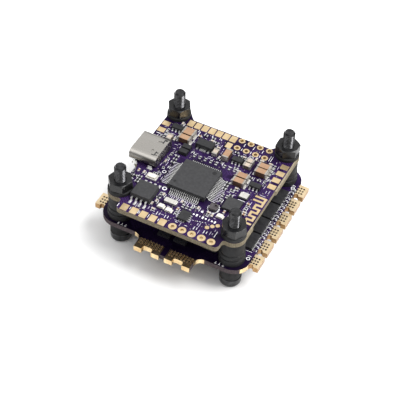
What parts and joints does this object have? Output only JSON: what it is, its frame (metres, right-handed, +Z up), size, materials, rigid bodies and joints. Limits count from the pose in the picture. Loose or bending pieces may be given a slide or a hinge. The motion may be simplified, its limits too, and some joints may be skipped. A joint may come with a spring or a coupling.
{
  "type": "flight controller stack",
  "caption": "Two-board flight controller stack for a multirotor: control board with USB-C socket on soft grommets over a motor-controller board, clamped by M3 screws and nuts.",
  "frame": {"origin": "on the ground plane the four screw heads stand on, at the middle of the four mounting screws", "axes": "+Z up through the boards towards the nuts, +X to the right side with the row of motor tabs (the USB socket's mouth faces -X), +Y to the back (the battery pads point to -Y)"},
  "size_m": [0.0448, 0.0427, 0.0244],
  "materials": {
    "solder_mask": "satin",
    "gold_plating": "satin",
    "chip_mould": "matte",
    "tinned_leads": "satin",
    "usb_steel": "satin",
    "connector_black": "matte",
    "connector_cream": "matte",
    "cap_ceramic": "matte",
    "resistor_film": "gloss",
    "crystal_metal": "satin",
    "lamp_resin": "gloss",
    "button_plastic": "matte",
    "ferrite": "matte",
    "soft_rubber": "matte",
    "black_steel": "satin"
  },
  "bodies": {
    "stack": {"fc_board": "solder_mask", "fc_edge_pads": "gold_plating", "fc_plated_holes": "gold_plating", "fc_jumper_dots": "gold_plating", "fc_antenna": "gold_plating", "usb_shell": "usb_steel", "usb_tongue": "connector_black", "usb_contacts": "gold_plating", "mcu_body": "chip_mould", "mcu_leads": "tinned_leads", "flash_body": "chip_mould", "flash_leads": "tinned_leads", "radio_chip": "chip_mould", "gyro_chip": "chip_mould", "barometer": "crystal_metal", "crystal_base": "chip_mould", "crystal_cover": "crystal_metal", "clock_crystal": "crystal_metal", "large_cap_bodies": "cap_ceramic", "large_cap_ends": "tinned_leads", "mid_cap_bodies": "cap_ceramic", "mid_cap_ends": "tinned_leads", "resistor_bodies": "resistor_film", "resistor_ends": "tinned_leads", "regulator_bodies": "chip_mould", "regulator_leads": "tinned_leads", "diode_bodies": "chip_mould", "status_leds": "lamp_resin", "button_frame": "button_plastic", "fc_socket_housing": "connector_cream", "fc_socket_pins": "tinned_leads", "esc_board": "solder_mask", "motor_pads": "gold_plating", "battery_pads": "gold_plating", "underside_pads": "gold_plating", "edge_bays": "gold_plating", "fet_bodies": "chip_mould", "fet_leads": "tinned_leads", "driver_chips": "chip_mould", "motor_controllers": "chip_mould", "current_shunts": "resistor_film", "input_clamp_diode": "chip_mould", "supply_coil": "ferrite", "esc_cap_bodies": "cap_ceramic", "esc_cap_ends": "tinned_leads", "esc_socket_housing": "connector_cream", "esc_socket_pins": "tinned_leads", "fc_grommets": "soft_rubber", "spacer_rings": "soft_rubber", "esc_grommets": "soft_rubber"},
    "screw_1_body": {"screw_1": "black_steel"},
    "nut_1_body": {"nut_1": "black_steel"},
    "screw_2_body": {"screw_2": "black_steel"},
    "nut_2_body": {"nut_2": "black_steel"},
    "screw_3_body": {"screw_3": "black_steel"},
    "nut_3_body": {"nut_3": "black_steel"},
    "screw_4_body": {"screw_4": "black_steel"},
    "nut_4_body": {"nut_4": "black_steel"},
    "button": {"button_cap": "button_plastic"}
  },
  "joints": [
    {"name": "screw_1_turn", "type": "hinge", "parent": "stack", "child": "screw_1_body", "pos_m": [-0.01525, -0.01525, 0], "axis": [0, 0, -1], "range_deg": [0, 2880]},
    {"name": "nut_1_climb", "type": "slide", "parent": "stack", "child": "nut_1_body", "axis": [0, 0, 1], "range_m": [0, 0.004]},
    {"name": "screw_2_turn", "type": "hinge", "parent": "stack", "child": "screw_2_body", "pos_m": [0.01525, -0.01525, 0], "axis": [0, 0, -1], "range_deg": [0, 2880]},
    {"name": "nut_2_climb", "type": "slide", "parent": "stack", "child": "nut_2_body", "axis": [0, 0, 1], "range_m": [0, 0.004]},
    {"name": "screw_3_turn", "type": "hinge", "parent": "stack", "child": "screw_3_body", "pos_m": [0.01525, 0.01525, 0], "axis": [0, 0, -1], "range_deg": [0, 2880]},
    {"name": "nut_3_climb", "type": "slide", "parent": "stack", "child": "nut_3_body", "axis": [0, 0, 1], "range_m": [0, 0.004]},
    {"name": "screw_4_turn", "type": "hinge", "parent": "stack", "child": "screw_4_body", "pos_m": [-0.01525, 0.01525, 0], "axis": [0, 0, -1], "range_deg": [0, 2880]},
    {"name": "nut_4_climb", "type": "slide", "parent": "stack", "child": "nut_4_body", "axis": [0, 0, 1], "range_m": [0, 0.004]},
    {"name": "button_press", "type": "slide", "parent": "stack", "child": "button", "axis": [0, 0, -1], "range_m": [0, 0.0002], "stiffness_N_per_m": 800}
  ],
  "couplings": [
    {"joint": "screw_1_turn", "follows": "nut_1_climb", "rad_per_m": 12566},
    {"joint": "screw_2_turn", "follows": "nut_2_climb", "rad_per_m": 12566},
    {"joint": "screw_3_turn", "follows": "nut_3_climb", "rad_per_m": 12566},
    {"joint": "screw_4_turn", "follows": "nut_4_climb", "rad_per_m": 12566}
  ]
}
